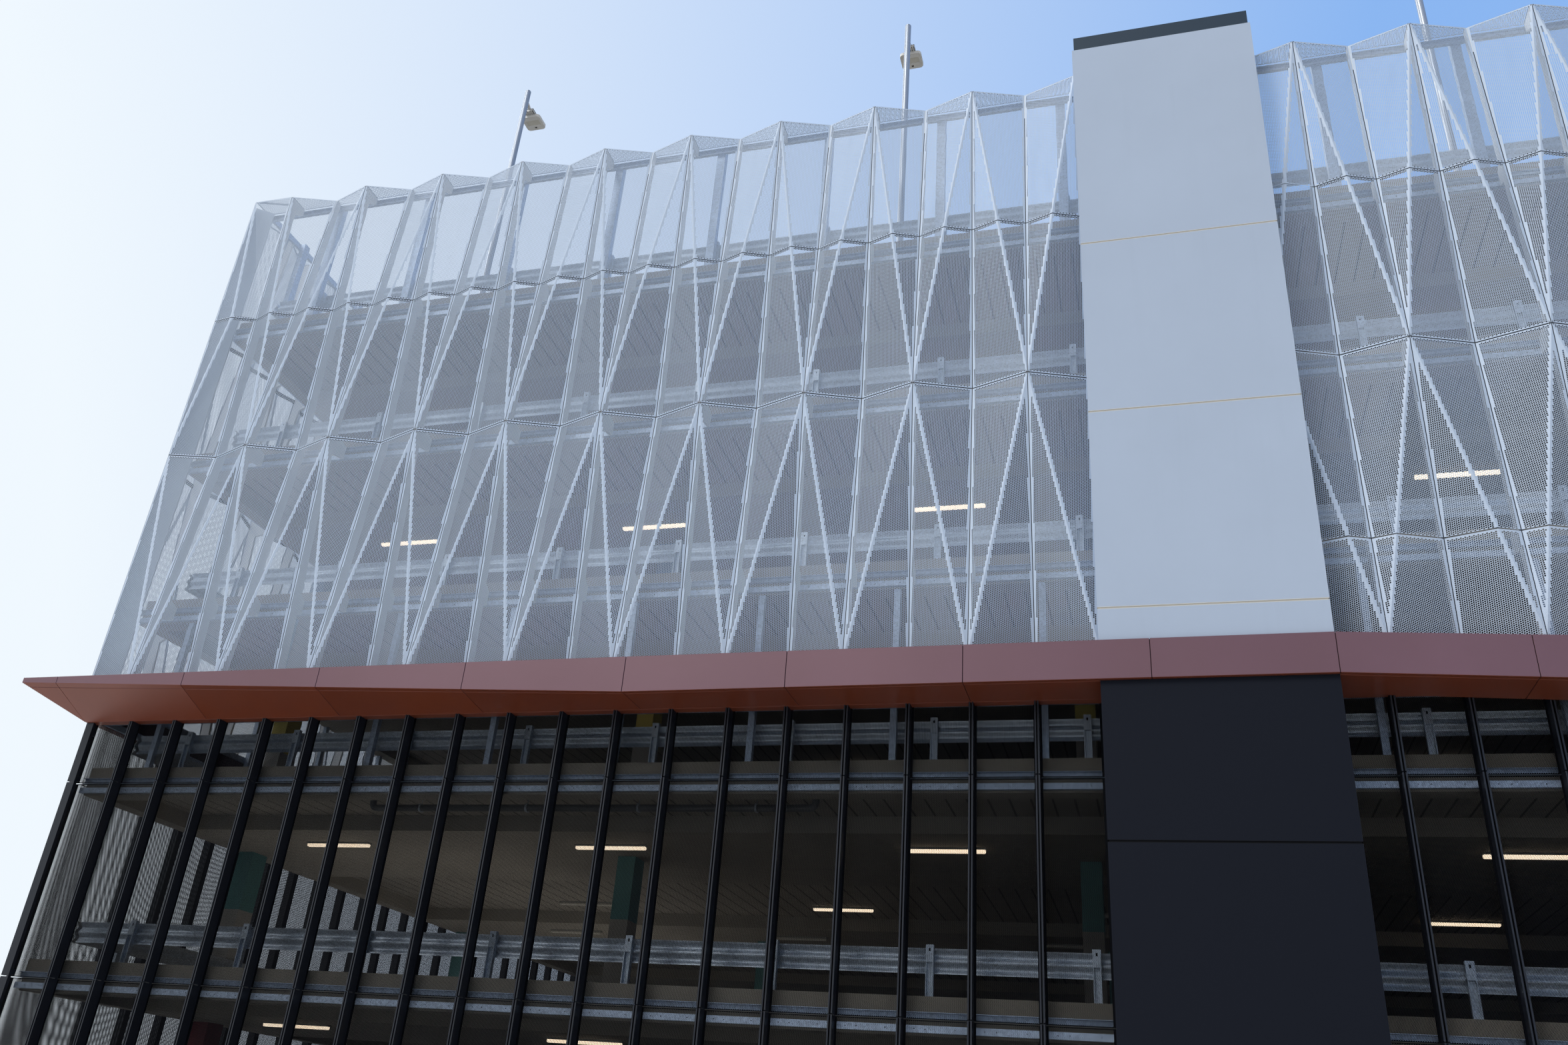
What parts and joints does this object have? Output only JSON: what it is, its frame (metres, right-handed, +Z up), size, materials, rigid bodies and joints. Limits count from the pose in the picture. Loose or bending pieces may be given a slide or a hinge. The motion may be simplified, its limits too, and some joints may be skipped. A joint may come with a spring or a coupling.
{
  "type": "multi storey car park",
  "caption": "Car park with a black finned podium, a terracotta canopy, folded white perforated screens over open decks and a rendered pier.",
  "frame": {"origin": "centre of the footprint's bounding box, on the ground", "axes": "+Z up; the long front with the pier faces -Y; X runs along the front"},
  "size_m": [37.17, 35.386, 21.67],
  "materials": {
    "concrete": "cast concrete, dull",
    "dark_fins": "satin, near black",
    "dark_mesh": "perforated sheet, near black",
    "galvanised": "galvanised, dull",
    "white_screen": "perforated sheet, powder coated",
    "pale_mullion": "powder coated",
    "terracotta": "satin",
    "dark_render": "smooth render, dull",
    "white_render": "smooth render, dull",
    "dark_flashing": "satin",
    "lamp_glass": "diffuser",
    "lamp_steel": "galvanised pole",
    "grey_pipe": "grey pipe"
  },
  "bodies": {
    "root": {"ground_slab": "concrete", "deck_1": "concrete", "deck_2": "concrete", "deck_3": "concrete", "deck_4": "concrete", "roof_deck": "concrete", "columns_lower": "concrete", "columns_upper": "concrete", "fins_front": "dark_fins", "fins_back": "dark_fins", "fins_ends": "dark_fins", "mesh_front": "dark_mesh", "mesh_back": "dark_mesh", "mesh_ends": "dark_mesh", "girts_front": "galvanised", "girts_back": "galvanised", "girts_ends": "galvanised", "screen_low_left_wing": "white_screen", "screen_mid_left_wing": "white_screen", "screen_top_left_wing": "white_screen", "screen_low_right_wing": "white_screen", "screen_mid_right_wing": "white_screen", "screen_top_right_wing": "white_screen", "screen_back": "white_screen", "screen_left": "white_screen", "screen_right": "white_screen", "screen_corners": "white_screen", "mullions_front": "pale_mullion", "mullions_back": "pale_mullion", "mullions_ends": "pale_mullion", "canopy_front": "terracotta", "canopy_back": "terracotta", "end_bands": "terracotta", "canopy_rails": "galvanised", "canopy_posts": "galvanised", "roof_posts": "galvanised", "pier_dark": "dark_render", "pier_white": "white_render", "pier_cap": "dark_flashing", "barrier_rails": "galvanised", "barrier_posts_lower": "galvanised", "barrier_posts_upper": "galvanised", "barrier_posts_roof": "galvanised", "strip_lights": "lamp_glass", "drain_pipe": "grey_pipe", "roof_lamps": "lamp_steel"}
  },
  "joints": []
}
